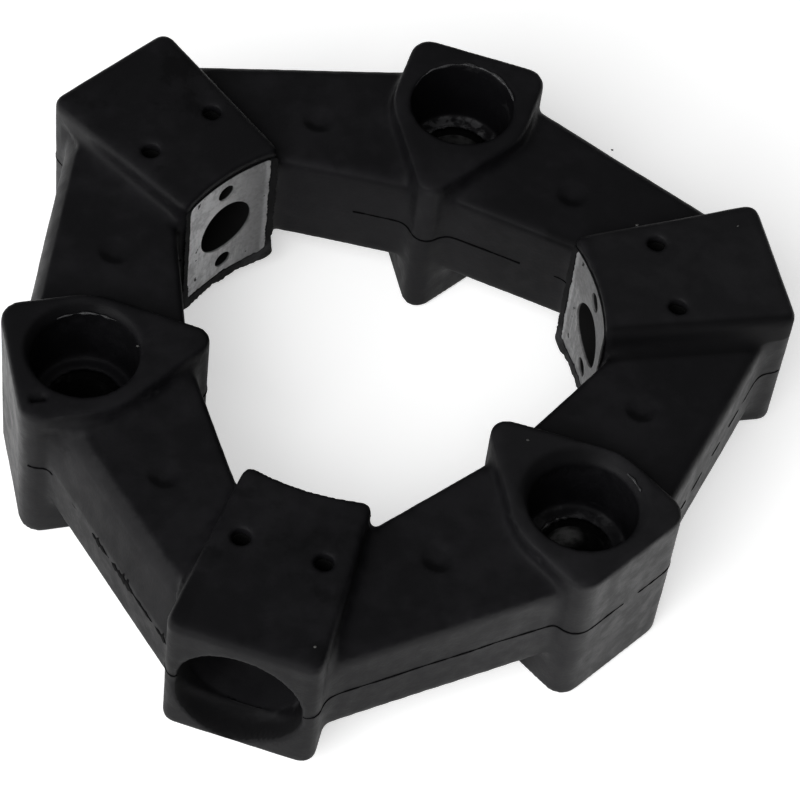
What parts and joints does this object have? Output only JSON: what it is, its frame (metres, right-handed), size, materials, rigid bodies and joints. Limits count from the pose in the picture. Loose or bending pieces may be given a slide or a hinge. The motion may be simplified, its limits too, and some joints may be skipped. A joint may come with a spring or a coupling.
{
  "type": "rubber coupling",
  "caption": "Flexible rubber ring coupling: radial blocks with concave metal seats for a hub, alternating with axial lobes that bolt to a flange.",
  "frame": {"origin": "on the ring axis, level with the lobes' feet, which is also the centre of the axial screw circle", "axes": "+Z along the ring axis from the feet to the screw recesses, +X out through the screw of radial block 1"},
  "size_m": [0.1337, 0.1344, 0.0345],
  "materials": {
    "rubber": "dusty matt to satin",
    "radial_insert": "mottled cast and machined",
    "axial_insert": "turned, dull"
  },
  "bodies": {
    "root": {"rubber_body": "rubber", "radial_insert_1": "radial_insert", "radial_insert_2": "radial_insert", "radial_insert_3": "radial_insert", "axial_insert_1": "axial_insert", "axial_insert_2": "axial_insert", "axial_insert_3": "axial_insert"}
  },
  "joints": []
}
